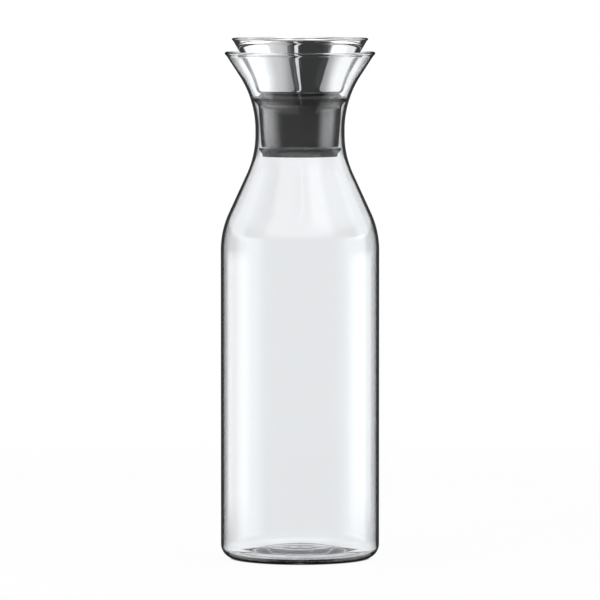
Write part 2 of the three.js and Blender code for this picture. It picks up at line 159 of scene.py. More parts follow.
def offset_line(corners: Sequence[Corner], walls: Sequence[float]) -> list[Corner]:
    """Moves each stretch of a line to its left by its own wall and meets the stretches again at the corners.

    Args:
        corners: The line's corners in order.
        walls: How far each stretch moves, one value for each stretch.

    Returns:
        The moved corners, with the rounds changed so that they stay concentric.
    """
    points = np.array([(c.r, c.z) for c in corners], float)
    along = [_unit(step) for step in np.diff(points, axis=0)]
    starts = [p + wall * np.array([-d[1], d[0]]) for p, d, wall in zip(points, along, walls)]
    moved = []
    for i, corner in enumerate(corners):
        before, after = max(i - 1, 0), min(i, len(walls) - 1)
        turn = float(along[before][0] * along[after][1] - along[before][1] * along[after][0])
        if abs(turn) < TINY:  # an end: the first moves square to its stretch, the last keeps its height
            reach = 0.0 if i == 0 else (corner.z - starts[before][1]) / along[before][1]
            meet = starts[before] + along[before] * reach
            moved.append(Corner(float(meet[0]), float(meet[1])))
            continue
        gap = starts[after] - starts[before]
        reach = float(gap[0] * along[after][1] - gap[1] * along[after][0]) / turn
        meet = starts[before] + along[before] * reach
        wall = (walls[before] + walls[after]) / 2
        rounding = max(0.0, corner.rounding - math.copysign(wall, turn))
        moved.append(Corner(float(meet[0]), float(meet[1]), rounding))
    return moved


def bead_line(middle: np.ndarray, radius: float, below: np.ndarray, opening: float) -> np.ndarray:
    """Returns the outline of a bead on a wall's edge: an arc from the outer face to the inner face.

    Args:
        middle: The bead's middle.
        radius: The bead's radius.
        below: A point in the wall under the bead.
        opening: The angle between the wall and each end of the arc, in radians.

    Returns:
        The arc's points.
    """
    down = math.atan2(*(below - middle)[::-1])
    angles = np.linspace(down + opening, down - opening + 2 * math.pi, BEAD_POINTS)
    return middle + radius * np.stack([np.cos(angles), np.sin(angles)], axis=1)


# Surfaces


def circle(radius: float, steps: int) -> np.ndarray:
    """Returns the points (R cos t, R sin t) for evenly spaced angles t, one row for each."""
    angles = np.linspace(0, 2 * np.pi, steps, endpoint=False)
    return radius * np.stack([np.cos(angles), np.sin(angles)], axis=1)


def ring_faces(rings: int, sides: int, is_closed: bool = False) -> np.ndarray:
    """Works out the faces between rings of points that follow each other.

    Args:
        rings: How many rings there are.
        sides: How many points each ring has.
        is_closed: Whether the last ring is joined to the first.

    Returns:
        The indices of the faces' corners, one row of four for each face.
    """
    first = np.arange(rings if is_closed else rings - 1)[:, None]
    second = (first + 1) % rings
    step = np.arange(sides)[None, :]
    onward = (step + 1) % sides
    corners = [first * sides + step, first * sides + onward, second * sides + onward, second * sides + step]
    return np.stack(corners, axis=2).reshape(-1, 4)


def turned_piece(name: str, outline: np.ndarray) -> bpy.types.Object:
    """Turns an outline round the Z axis and makes it an object.

    The surface is (r(s) cos t, r(s) sin t, z(s)) for the outline's points s and the angles t.

    Args:
        name: The new object's name.
        outline: Points of radius and height in millimetres. It ends on the axis or where it began, and its
            outside lies on its right.

    Returns:
        The object, smooth but for its sharp edges.
    """
    keep = np.ones(len(outline), bool)
    keep[1:] = np.linalg.norm(np.diff(outline, axis=0), axis=1) > TINY
    outline = outline[keep]
    is_ring = bool(np.allclose(outline[0], outline[-1], atol=TINY))
    if is_ring:
        outline = outline[:-1]
    rings = outline[outline[:, 0] >= TINY]
    turn = circle(1.0, TURN_STEPS)
    x = rings[:, :1] * turn[:, 0]
    y = rings[:, :1] * turn[:, 1]
    z = np.repeat(rings[:, 1:], TURN_STEPS, axis=1)
    points = np.stack([x, y, z], axis=2).reshape(-1, 3)
    faces = ring_faces(len(rings), TURN_STEPS, is_ring).tolist()
    for is_start, pole in ((True, outline[0]), (False, outline[-1])):
        if is_ring or pole[0] >= TINY:
            continue
        points = np.vstack([points, [[0.0, 0.0, pole[1]]]])
        ring = (0 if is_start else len(rings) - 1) * TURN_STEPS + np.arange(TURN_STEPS)
        pair = (np.roll(ring, -1), ring) if is_start else (ring, np.roll(ring, -1))
        tip = np.full(TURN_STEPS, len(points) - 1)
        faces += np.stack([tip, *pair], axis=1).tolist()
    return _object(name, points, faces)


def _object(name: str, points: np.ndarray, faces: list[list[int]]) -> bpy.types.Object:
    """Makes an object of points in millimetres and faces.

    Args:
        name: The new object's name.
        points: One row of x, y and z for each point.
        faces: The indices of each face's corners.

    Returns:
        The object at the origin, linked to the scene.
    """
    mesh = bpy.data.meshes.new(name)
    mesh.from_pydata((points * MM).tolist(), [], faces)
    mesh.validate()
    mesh.shade_smooth()
    mesh.set_sharp_from_angle(angle=SHARP_ANGLE)
    piece = bpy.data.objects.new(name, mesh)
    bpy.context.scene.collection.objects.link(piece)
    return piece


# Shader graphs

Value = Union[float, "Sock"]


class Sock:
    """An output socket that can be used in Python expressions on values."""

    def __init__(self, graph: "Graph", socket: bpy.types.NodeSocket) -> None:
        """Keeps the graph that the socket belongs to and the socket itself."""
        self.graph = graph
        self.socket = socket

    def _math(self, operation: str, *values: Value) -> "Sock":
        """Adds a Math node with one of its operations on values in order, and returns its result."""
        node = self.graph.add("ShaderNodeMath", {"operation": operation}, dict(enumerate(values)))
        return node.sock("Value")

    def __add__(self, other: Value) -> "Sock":
        """Returns self + other."""
        return self._math("ADD", self, other)

    __radd__ = __add__

    def __sub__(self, other: Value) -> "Sock":
        """Returns self - other."""
        return self._math("SUBTRACT", self, other)

    def __rsub__(self, other: Value) -> "Sock":
        """Returns other - self."""
        return self._math("SUBTRACT", other, self)

    def __mul__(self, other: Value) -> "Sock":
        """Returns self * other."""
        return self._math("MULTIPLY", self, other)

    __rmul__ = __mul__

    def __gt__(self, other: Value) -> "Sock":
        """Returns 1 where self is greater than other, and 0 elsewhere."""
        return self._math("GREATER_THAN", self, other)

    def max(self, other: Value) -> "Sock":
        """Returns the greater of self and other."""
        return self._math("MAXIMUM", self, other)

    def hypot(self, other: Value) -> "Sock":
        """Returns the square root of self squared plus other squared."""
        return self._math("POWER", self * self + other * other, 0.5)

    def arcsine(self) -> "Sock":
        """Returns the angle in degrees whose sine is self."""
        return self._math("ARCSINE", self) * math.degrees(1)

    def azimuth(self, y: Value) -> "Sock":
        """Returns the angle in degrees from -Y towards +X of a place that has self as its X, and this Y."""
        return self._math("ARCTAN2", self, 0 - y) * math.degrees(1)

    def ease(self, low: float, high: float) -> "Sock":
        """Works out a smooth step.

        Args:
            low: The value where it begins to rise from 0.
            high: The value where it reaches 1.

        Returns:
            The step.
        """
        settings = {"interpolation_type": "SMOOTHSTEP"}
        inputs = {"Value": self, "From Min": low, "From Max": high}
        return self.graph.add("ShaderNodeMapRange", settings, inputs).sock("Result")


@dataclass
class Node:
    """A shader node and the graph that it is in."""

    graph: "Graph"
    node: bpy.types.Node

    def sock(self, name: Union[str, int] = 0) -> Sock:
        """Returns one of the node's outputs by name or number."""
        return Sock(self.graph, self.node.outputs[name])


class Graph:
    """The node tree of a material or of the world."""

    def __init__(self, owner: Union[bpy.types.Material, bpy.types.World]) -> None:
        """Empties the node tree of its owner.

        Args:
            owner: The material or the world.
        """
        owner.use_nodes = True
        self.tree = owner.node_tree
        self.tree.nodes.clear()

    def add(self, kind: str, settings: dict[str, Any], inputs: dict[Union[str, int], Any]) -> Node:
        """Adds a node.

        Args:
            kind: The node's type.
            settings: Its own settings, such as a Math node's operation, which are set first.
            inputs: A value or a Sock for each input, by name or number.

        Returns:
            The new node.
        """
        node = self.tree.nodes.new(kind)
        for key, value in settings.items():
            setattr(node, key, value)
        for key, value in inputs.items():
            if isinstance(value, Sock):
                self.tree.links.new(value.socket, node.inputs[key])
            else:
                node.inputs[key].default_value = value
        return Node(self, node)

    def mix(self, share: Value, first: Any, second: Any) -> Sock:
        """Mixes two colours.

        Args:
            share: How much of the second colour there is, from 0 to 1.
            first: A colour or a Sock.
            second: A colour or a Sock.

        Returns:
            The mixed colour.
        """
        inputs = {0: share, 6: first, 7: second}
        return self.add("ShaderNodeMix", {"data_type": "RGBA"}, inputs).sock(2)

    def mix_shaders(self, share: Value, first: Sock, second: Sock) -> Sock:
        """Mixes two shaders: share is how much of the second there is, from 0 to 1."""
        return self.add("ShaderNodeMixShader", {}, {0: share, 1: first, 2: second}).sock()

    def place(self, kind: str = "Object") -> Sock:
        """Returns texture coordinates: Object in metres, or Generated for directions in the world."""
        return self.add("ShaderNodeTexCoord", {}, {}).sock(kind)

    def axes(self, kind: str = "Object") -> list[Sock]:
        """Returns the X, Y and Z of one kind of texture coordinates."""
        split = self.add("ShaderNodeSeparateXYZ", {}, {0: self.place(kind)})
        return [split.sock(axis) for axis in "XYZ"]

    def noise(self, scale: tuple[float, float, float], detail: float = 3.0) -> Sock:
        """Returns noise, from 0 to 1.

        Args:
            scale: How many waves there are in a metre along X, Y and Z.
            detail: How many finer layers of waves there are.

        Returns:
            The noise's value.
        """
        stretched = self.add("ShaderNodeMapping", {}, {"Vector": self.place(), "Scale": scale}).sock("Vector")
        inputs = {"Vector": stretched, "Scale": 1.0, "Detail": detail}
        return self.add("ShaderNodeTexNoise", {}, inputs).sock("Fac")

    def round_lines(self, per_metre: float, detail: float = 2.0) -> Sock:
        """Returns noise that changes only with radius and height, as tool marks of spinning do.

        Args:
            per_metre: How many marks there are in a metre.
            detail: How many finer layers of marks there are.

        Returns:
            The marks' depth, from 0 to 1.
        """
        x, y, z = self.axes()
        line = self.add("ShaderNodeCombineXYZ", {}, {0: x.hypot(y), 1: 0.0, 2: z}).sock()
        inputs = {"Vector": line, "Scale": per_metre, "Detail": detail}
        return self.add("ShaderNodeTexNoise", {}, inputs).sock("Fac")

    def bump(self, height: Sock, distance: float, strength: float) -> Sock:
        """Returns a normal that follows a height, with distance in metres."""
        inputs = {"Height": height, "Distance": distance, "Strength": strength}
        return self.add("ShaderNodeBump", {}, inputs).sock("Normal")

    def finish(self, surface: Sock, volume: Union[Sock, None] = None) -> None:
        """Sends the surface, and the volume where there is one, to a material's output."""
        inputs = {"Surface": surface} if volume is None else {"Surface": surface, "Volume": volume}
        self.add("ShaderNodeOutputMaterial", {}, inputs)

    def principled(self, inputs: dict[Union[str, int], Any]) -> None:
        """Ends a material in a Principled BSDF with these inputs."""
        self.finish(self.add("ShaderNodeBsdfPrincipled", {}, inputs).sock())


def new_material(name: str) -> tuple[bpy.types.Material, Graph]:
    """Returns a new material of a name, and its empty graph."""
    material = bpy.data.materials.new(name)
    return material, Graph(material)


# Finishes

Colour = tuple[float, float, float, float]
BLACK: Colour = (0.0, 0.0, 0.0, 1.0)
WHITE: Colour = (1.0, 1.0, 1.0, 1.0)


@dataclass(frozen=True)
class ClearGlass:
    """Blown and fire-polished borosilicate glass, with a trace of waviness."""

    name: str = "clear_glass"
    refraction: float = 1.45
    tint: Colour = (0.98, 0.985, 0.99, 1.0)
    absorbed: Colour = (0.75, 0.76, 0.77, 1.0)
    absorption_density: float = 60.0  # in each metre
    wave_depth: float = 0.00006  # in metres, as are the depths of the other finishes
    wave_strength: float = 0.05
    wave_scale: tuple[float, float, float] = (28.0, 28.0, 7.0)  # waves in a metre along X, Y and Z

    def material(self) -> bpy.types.Material:
        """Builds the glass. It lets straight light through where it would cast a shadow.

        Returns:
            The material.
        """
        material, graph = new_material(self.name)
        waves = graph.bump(graph.noise(self.wave_scale, 1.0), self.wave_depth, self.wave_strength)
        inputs = {"Color": self.tint, "Roughness": 0.0, "IOR": self.refraction, "Normal": waves}
        glass = graph.add("ShaderNodeBsdfGlass", {}, inputs).sock()
        see_through = graph.add("ShaderNodeBsdfTransparent", {}, {"Color": self.tint}).sock()
        is_shadow = graph.add("ShaderNodeLightPath", {}, {}).sock("Is Shadow Ray")
        inputs = {"Color": self.absorbed, "Density": self.absorption_density}
        volume = graph.add("ShaderNodeVolumeAbsorption", {}, inputs).sock()
        graph.finish(graph.mix_shaders(is_shadow, glass, see_through), volume)
        return material


@dataclass(frozen=True)
class PolishedSteel:
    """Spun stainless steel, polished to a mirror, with the faintest round marks and smudges left."""

    name: str = "polished_steel"
    colour: Colour = (0.95, 0.95, 0.95, 1.0)
    dull_colour: Colour = (0.88, 0.885, 0.89, 1.0)
    roughness: float = 0.02
    smudge_roughness: float = 0.03
    mark_depth: float = 0.00001
    mark_strength: float = 0.06
    marks_per_metre: float = 900.0
    smudge_scale: tuple[float, float, float] = (38.0, 38.0, 60.0)
    smudge_low: float = 0.42  # the noise where a smudge begins
    smudge_high: float = 0.78

    def material(self) -> bpy.types.Material:
        """Builds the steel. Smudges dull it a little, and round marks give it a fine bump.

        Returns:
            The material.
        """
        material, graph = new_material(self.name)
        smudges = graph.noise(self.smudge_scale).ease(self.smudge_low, self.smudge_high)
        marks = graph.round_lines(self.marks_per_metre)
        inputs = {
            "Base Color": graph.mix(smudges, self.colour, self.dull_colour),
            "Metallic": 1.0,
            "Roughness": smudges * self.smudge_roughness + self.roughness,
            "Normal": graph.bump(marks, self.mark_depth, self.mark_strength),
        }
        graph.principled(inputs)
        return material


@dataclass(frozen=True)
class TurnedSteel:
    """Plain stainless steel with visible turning marks."""

    name: str = "turned_steel"
    colour: Colour = (0.42, 0.425, 0.43, 1.0)
    light_colour: Colour = (0.52, 0.525, 0.53, 1.0)
    roughness: float = 0.26
    roughness_spread: float = 0.12
    mark_strength: float = 0.35
    mark_depth: float = 0.00002
    marks_per_metre: float = 2600.0

    def material(self) -> bpy.types.Material:
        """Builds the steel. The marks change its tone, roughness and bump together.

        Returns:
            The material.
        """
        material, graph = new_material(self.name)
        marks = graph.round_lines(self.marks_per_metre)
        inputs = {
            "Base Color": graph.mix(marks, self.colour, self.light_colour),
            "Metallic": 1.0,
            "Roughness": marks * self.roughness_spread + self.roughness,
            "Normal": graph.bump(marks, self.mark_depth, self.mark_strength),
        }
        graph.principled(inputs)
        return material


@dataclass(frozen=True)
class BlackMoulding:
    """A black moulded piece: satin silicone or smooth plastic, by its roughness, grain and sheen."""

    name: str
    colour: Colour
    worn_colour: Colour
    roughness: float
    roughness_spread: float
    grain_per_metre: float
    grain_depth: float
    grain_strength: float
    cloud_scale: tuple[float, float, float] = (55.0, 55.0, 80.0)
    cloud_low: float = 0.35  # the noise where a cloud begins
    cloud_high: float = 0.75
    coat_bottom: float = 0.0  # the heights between which the mould left a gloss, in metres
    coat_top: float = 0.0
    coat_edge: float = 0.001
    coat_refraction: float = 1.85
    coat_roughness: float = 0.15

    def material(self) -> bpy.types.Material:
        """Builds the moulding. A cloudy tone and a fine grain keep it from looking flat.

        Returns:
            The material.
        """
        material, graph = new_material(self.name)
        clouds = graph.noise(self.cloud_scale).ease(self.cloud_low, self.cloud_high)
        grain = graph.noise((self.grain_per_metre,) * 3, 2.0)
        inputs = {
            "Base Color": graph.mix(clouds, self.colour, self.worn_colour),
            "Roughness": clouds * self.roughness_spread + self.roughness,
            "Normal": graph.bump(grain, self.grain_depth, self.grain_strength),
        }
        if self.coat_top > self.coat_bottom:
            height = graph.axes()[2]
            above = height.ease(self.coat_bottom - self.coat_edge, self.coat_bottom)
            below = 1 - height.ease(self.coat_top, self.coat_top + self.coat_edge)
            inputs["Coat Weight"] = above * below
            inputs["Coat IOR"] = self.coat_refraction
            inputs["Coat Roughness"] = self.coat_roughness
        graph.principled(inputs)
        return material


SATIN_SILICONE = BlackMoulding(
    name="satin_silicone",
    colour=(0.040, 0.038, 0.038, 1.0),
    worn_colour=(0.050, 0.048, 0.047, 1.0),
    roughness=0.2,
    roughness_spread=0.05,
    grain_per_metre=5200.0,
    grain_depth=0.00002,
    grain_strength=0.25,
    coat_bottom=0.2208,
    coat_top=0.2436,
)
SMOOTH_PLASTIC = BlackMoulding(
    name="smooth_plastic",
    colour=(0.012, 0.012, 0.013, 1.0),
    worn_colour=(0.018, 0.018, 0.019, 1.0),
    roughness=0.22,
    roughness_spread=0.08,
    grain_per_metre=3600.0,
    grain_depth=0.00001,
    grain_strength=0.2,
)
CAP_STEEL = PolishedSteel(name="cap_steel", roughness=0.12)


# Pieces


class Body(Enum):
    """The rigid bodies that new pieces move with."""

    CARAFE = "carafe"
    STOPPER = "stopper"


class Slot(Enum):
    """Names of material slots for the finishes of new pieces, which nothing here uses."""

    GLASS = "glass"
    SILICONE = "silicone"
    POLISHED_STEEL = "polished_steel"


def dress(piece: bpy.types.Object, material: bpy.types.Material, body: Body, node: str) -> None:
    """Gives a new piece its material and its body, and hides the node that it stands for.

    Args:
        piece: The piece.
        material: Its material.
        body: The body that it moves with.
        node: The node that it replaces.
    """
    piece.data.materials.append(material)
    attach(piece, body.value)
    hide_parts(node)
    log.info("%s stands for %s: %d faces", piece.name, node, len(piece.data.polygons))


def coat(node: bpy.types.Object, material: bpy.types.Material) -> None:
    """Gives a node of the part itself a new material.

    Args:
        node: The node's object.
        material: Its material.
    """
    node.data.materials.clear()
    node.data.materials.append(material)
    log.info("%s keeps its shape and gets %s", node.name, material.name)


@dataclass
class GlassCarafe:
    """The glass: a straight body, a shoulder cone, a narrow neck and a wide flare.

    Its walls are as thin as the dark edges that refraction draws in them. Sizes are in millimetres.
    """

    height: float = 272.0
    body_radius: float = 42.5
    body_wall: float = 1.35
    base_corner: float = 7.5
    foot_width: float = 5.0  # the ring that the glass stands on
    foot_round: float = 1.4
    punt_rise: float = 2.4
    punt_slope: float = 7.0  # width of the slope, as the dome's
    punt_round: float = 6.0
    floor: float = 3.2  # thickness in the middle
    floor_edge: float = 2.3  # the height where the floor meets the wall
    inner_corner: float = 4.5
    dome_radius: float = 20.0
    dome_slope: float = 12.0
    dome_round: float = 9.0
    ring_radii: tuple[float, ...] = (8.5, 17.5)  # the rings that pressing leaves in the floor
    ring_height: float = 0.36
    ring_spread: float = 0.9
    pip_depth: float = 0.5  # the mark of the plunger in the middle
    pip_radius: float = 2.2
    shoulder_angle: float = 24.7  # in degrees from upright, as is the flare's
    shoulder_round: float = 48.0
    bore_radius: float = 22.3
    neck_wall: float = 1.6
    neck_length: float = 28.8
    lower_neck_round: float = 50.0
    upper_neck_round: float = 53.0
    flare_angle: float = 31.6
    flare_wall: float = 1.25
    rim_radius: float = 40.3
    rim_bead: float = 0.95  # radius of the melted rim
    rim_root: float = 1.9  # how far under the bead's middle the wall ends
    rim_opening: float = 50.0  # degrees between the wall and each end of the bead's arc

    @property
    def neck_radius(self) -> float:
        """The neck's outside radius."""
        return self.bore_radius + self.neck_wall

    @property
    def flare_start(self) -> float:
        """The height where the flare's cone would meet the straight neck."""
        return self.height - (self.rim_radius - self.neck_radius) / math.tan(math.radians(self.flare_angle))

    def outside(self) -> list[Corner]:
        """Works out the outside.

        Returns:
            Its corners, from the middle of the base to the rim.
        """
        foot_outer = self.body_radius - self.base_corner
        foot_inner = foot_outer - self.foot_width
        neck_start = self.flare_start - self.neck_length
        slope = math.tan(math.radians(self.shoulder_angle))
        shoulder = neck_start - (self.body_radius - self.neck_radius) / slope
        return [
            Corner(0.0, self.punt_rise),
            Corner(foot_inner - self.punt_slope, self.punt_rise, self.punt_round),
            Corner(foot_inner, 0.0, self.foot_round),
            Corner(self.body_radius, 0.0, self.base_corner),
            Corner(self.body_radius, shoulder, self.shoulder_round),
            Corner(self.neck_radius, neck_start, self.lower_neck_round),
            Corner(self.neck_radius, self.flare_start, self.upper_neck_round),
            Corner(self.rim_radius, self.height),
        ]

    def inside(self) -> list[Corner]:
        """Works out the inside: a low dome for a floor, and the outside moved in by each stretch's wall.

        Returns:
            Its corners, from the middle of the floor to the rim.
        """
        walls = [self.body_wall, self.body_wall, self.neck_wall, self.flare_wall]
        middle = self.punt_rise + self.floor
        return [
            Corner(0.0, middle),
            Corner(self.dome_radius, middle, self.dome_round),
            Corner(self.dome_radius + self.dome_slope, self.floor_edge, self.dome_round),
            Corner(self.body_radius - self.body_wall, self.floor_edge, self.inner_corner),
            *offset_line(self.outside()[3:], walls)[1:],
        ]

    def pressed_floor(self, inside: np.ndarray) -> np.ndarray:
        """Gives the floor its pressing marks: shallow rings and a small pip in the middle.

        The height is the line's own height, plus a bell for each ring, less a bell-shaped pip:
        z = line + height * sum(exp(-((r - ring) / spread)^2)) - pip * exp(-(r / p)^2).

        Args:
            inside: The inside's points from the floor's middle to the rim.

        Returns:
            The points with the floor divided into short steps.
        """
        reach = self.body_radius - self.body_wall - self.inner_corner
        radius = np.linspace(0.0, reach, FLOOR_POINTS)
        lower = inside[: np.argmax(inside[:, 0])]
        height = np.interp(radius, lower[:, 0], lower[:, 1])
        from_ring = (radius[:, None] - np.array(self.ring_radii)) / self.ring_spread
        height += self.ring_height * np.exp(-(from_ring**2)).sum(axis=1)
        height -= self.pip_depth * np.exp(-((radius / self.pip_radius) ** 2))
        rest = inside[np.argmax(inside[:, 0] > reach + JOIN_GAP) :]
        return np.concatenate([np.stack([radius, height], axis=1), rest])

    def flare_radius(self, height: float) -> float:
        """Returns the radius of the flare's inside at a height."""
        line = rounded_line(self.inside())
        return float(np.interp(height, line[:, 1], line[:, 0]))

    def build(self, finish: ClearGlass) -> None:
        """Builds and dresses the glass as one closed surface.

        Its outline runs up the outside, round the bead that melting leaves on the rim, and down the inside.

        Args:
            finish: The glass's finish.
        """
        outside, inside = rounded_line(self.outside()), self.pressed_floor(rounded_line(self.inside()))
        middle = outside[-1] - self.rim_bead
        up = _unit(outside[-1] - outside[-2])
        root = middle - up * self.rim_root
        across = np.array([up[1], -up[0]]) * self.flare_wall / 2
        rim = bead_line(middle, self.rim_bead, root, math.radians(self.rim_opening))
        outline = np.concatenate([outside[:-1], [root + across], rim, [root - across], inside[:-1][::-1]])
        piece = turned_piece("carafe_glass", outline)
        dress(piece, finish.material(), Body.CARAFE, "glass_carafe")


@dataclass
class Stopper:
    """The seen pieces of the stopper: a steel funnel over a black silicone sleeve.

    Sizes are in millimetres. Heights within the sleeve count from the top of its upper lip.
    """

    glass: GlassCarafe
    sleeve_top: float  # above the base of the glass
    part_gap: float = 0.3  # between the pieces of the stopper
    lip_clearance: float = 0.3
    lip_contact: float = 0.06  # how far the soft upper lip is pressed against the glass
    upper_lip: float = 1.8
    lip_root_drop: float = 2.4  # how far under the lip its underside meets the tube
    lip_round: float = 4.5
    lower_lip_reach: float = 1.4
    lower_lip: float = 0.9
    lower_lip_height: float = 4.8
    lower_lip_round: float = 0.6
    sleeve_length: float = 31.8
    sleeve_taper: float = 1.7
    sleeve_wall: float = 2.0
    end_height: float = 1.3  # of the narrow end that leads the sleeve into the neck
    end_step: float = 0.5
    collar_height: float = 1.7  # above the upper lip
    collar_bevel: float = 1.1
    hook: float = 1.5  # how far the lower edge is turned in under the housing
    hook_thickness: float = 1.2
    edge_round: float = 0.25
    housing_wall: float = 1.6  # of the tube that the sleeve is pulled over
    housing_flange: float = 1.7
    throat_flange: float = 3.0  # of the ring that clamps the funnel
    funnel_height: float = 29.6
    funnel_rim_radius: float = 36.5
    funnel_margin: float = 3.2
    funnel_sheet: float = 0.7
    funnel_angle: float = 18.0
    funnel_bend_share: float = 0.4
    funnel_bend_round: float = 90.0
    funnel_corner: float = 3.0
    funnel_bead: float = 0.65

    @property
    def seat(self) -> float:
        """The height of the upper lip's top, where it rests in the flare."""
        return self.sleeve_top - self.collar_height

    @property
    def low_radius(self) -> float:
        """The sleeve's radius at its lower lip."""
        return self.glass.bore_radius - self.lip_clearance - self.lower_lip_reach

    @property
    def sleeve_bore(self) -> float:
        """The sleeve's inside radius."""
        return self.low_radius - self.sleeve_wall

    @property
    def throat_outer(self) -> float:
        """The throat ring's outside radius."""
        return self.sleeve_bore - self.part_gap - self.housing_wall - self.part_gap

    def sleeve_outline(self) -> np.ndarray:
        """Works out the sleeve, with its edges slightly rounded as moulded silicone is.

        Returns:
            The points of its closed outline.
        """
        bottom = -self.sleeve_length
        top = bottom + self.lower_lip_height
        high = self.low_radius + self.sleeve_taper
        end = self.low_radius - self.end_step
        lip = self.low_radius + self.lower_lip_reach
        under = self.glass.flare_radius(self.seat - self.upper_lip) + self.lip_contact
        over = self.glass.flare_radius(self.seat) + self.lip_contact
        flange = self.sleeve_bore - self.part_gap + self.housing_flange + self.part_gap
        soft = self.edge_round
        corners = [
            Corner(self.sleeve_bore - self.hook, bottom),
            Corner(end, bottom, soft),
            Corner(end, bottom + self.end_height, self.lower_lip_round),
            Corner(lip, top - self.lower_lip, soft),
            Corner(lip, top, soft),
            Corner(self.low_radius, top, self.lower_lip_round),
            Corner(high, -self.upper_lip - self.lip_root_drop, self.lip_round),
            Corner(under, -self.upper_lip, soft),
            Corner(over, 0.0, soft),
            Corner(high, 0.0, soft),
            Corner(high, self.collar_height - self.collar_bevel, soft),
            Corner(high - self.collar_bevel, self.collar_height, soft),
            Corner(flange, self.collar_height, soft),
            Corner(flange, 0.0, soft),
            Corner(self.sleeve_bore, 0.0, soft),
            Corner(self.sleeve_bore, bottom + self.hook_thickness, soft),
            Corner(self.sleeve_bore - self.hook, bottom + self.hook_thickness),
            Corner(self.sleeve_bore - self.hook, bottom),
        ]
        return rounded_line([c.raised(self.seat) for c in corners])

    def funnel_outline(self) -> np.ndarray:
        """Works out the funnel: a sheet with a corner, a bend and a rolled rim.

        Returns:
            The points of its closed outline.
        """
        base = self.throat_outer + self.throat_flange + self.funnel_margin
        bend = self.funnel_height * self.funnel_bend_share
        bend_radius = base + bend * math.tan(math.radians(self.funnel_angle))
        ring = self.funnel_rim_radius - self.funnel_bead
        top = self.funnel_height - self.funnel_bead
        outer = [
            Corner(self.throat_outer + self.part_gap, 0.0),
            Corner(base, 0.0, self.funnel_corner),
            Corner(bend_radius, bend, self.funnel_bend_round),
            Corner(ring + self.funnel_sheet / 2, top),
        ]
        inner = offset_line(outer, [self.funnel_sheet] * 3)
        outside, inside = rounded_line(outer), rounded_line(inner)
        opening = math.asin(self.funnel_sheet / 2 / self.funnel_bead)
        bead = bead_line(np.array([ring, top]), self.funnel_bead, outside[-2], opening)
        outline = np.concatenate([outside[:-1], bead, inside[:-1][::-1], outside[:1]])
        return outline + (0.0, self.seat + self.collar_height + self.part_gap)

    def build(self, steel: PolishedSteel, silicone: BlackMoulding) -> None:
        """Builds and dresses the sleeve and the funnel.

        Args:
            steel: The funnel's finish.
            silicone: The sleeve's finish.
        """
        sleeve = turned_piece("silicone_sleeve", self.sleeve_outline())
        dress(sleeve, silicone.material(), Body.STOPPER, "seal_sleeve")
        funnel = turned_piece("pouring_funnel", self.funnel_outline())
        dress(funnel, steel.material(), Body.STOPPER, "steel_funnel")


# Studio


@dataclass(frozen=True)
class Panel:
    """A soft-edged patch of light that polished surfaces show.

    Azimuths are in degrees from the camera to the right. Elevations are in degrees above the horizon, or
    for the near strips heights in millimetres.
    """

    left: float
    right: float
    low: float
    high: float
    strength: float
    fade_left: float = 5.0
    fade_right: float = 5.0
    fade_up: float = 5.0
    fade_down: Union[float, None] = None  # the same as upwards where it has no value
    lean_left: float = 0.0  # degrees to the left that an edge moves for each degree of elevation
    lean_right: float = 0.0
    level: float = -37.0  # the elevation where a leaning edge has the azimuth that is given for it

    def light(self, azimuth: Sock, elevation: Sock) -> Sock:
        """Works out the panel's light in a direction. It fades out beyond each edge.

        Args:
            azimuth: The direction's azimuth.
            elevation: Its elevation, or the height for a near strip.

        Returns:
            The light's strength.
        """
        rise = elevation - self.level
        from_left = rise * self.lean_left + azimuth if self.lean_left else azimuth
        from_right = rise * self.lean_right + azimuth if self.lean_right else azimuth
        across = from_left.ease(self.left - self.fade_left, self.left)
        across = across * (1 - from_right.ease(self.right, self.right + self.fade_right))
        fade_down = self.fade_up if self.fade_down is None else self.fade_down
        upward = elevation.ease(self.low - fade_down, self.low)
        upward = upward * (1 - elevation.ease(self.high, self.high + self.fade_up))
        return across * upward * self.strength


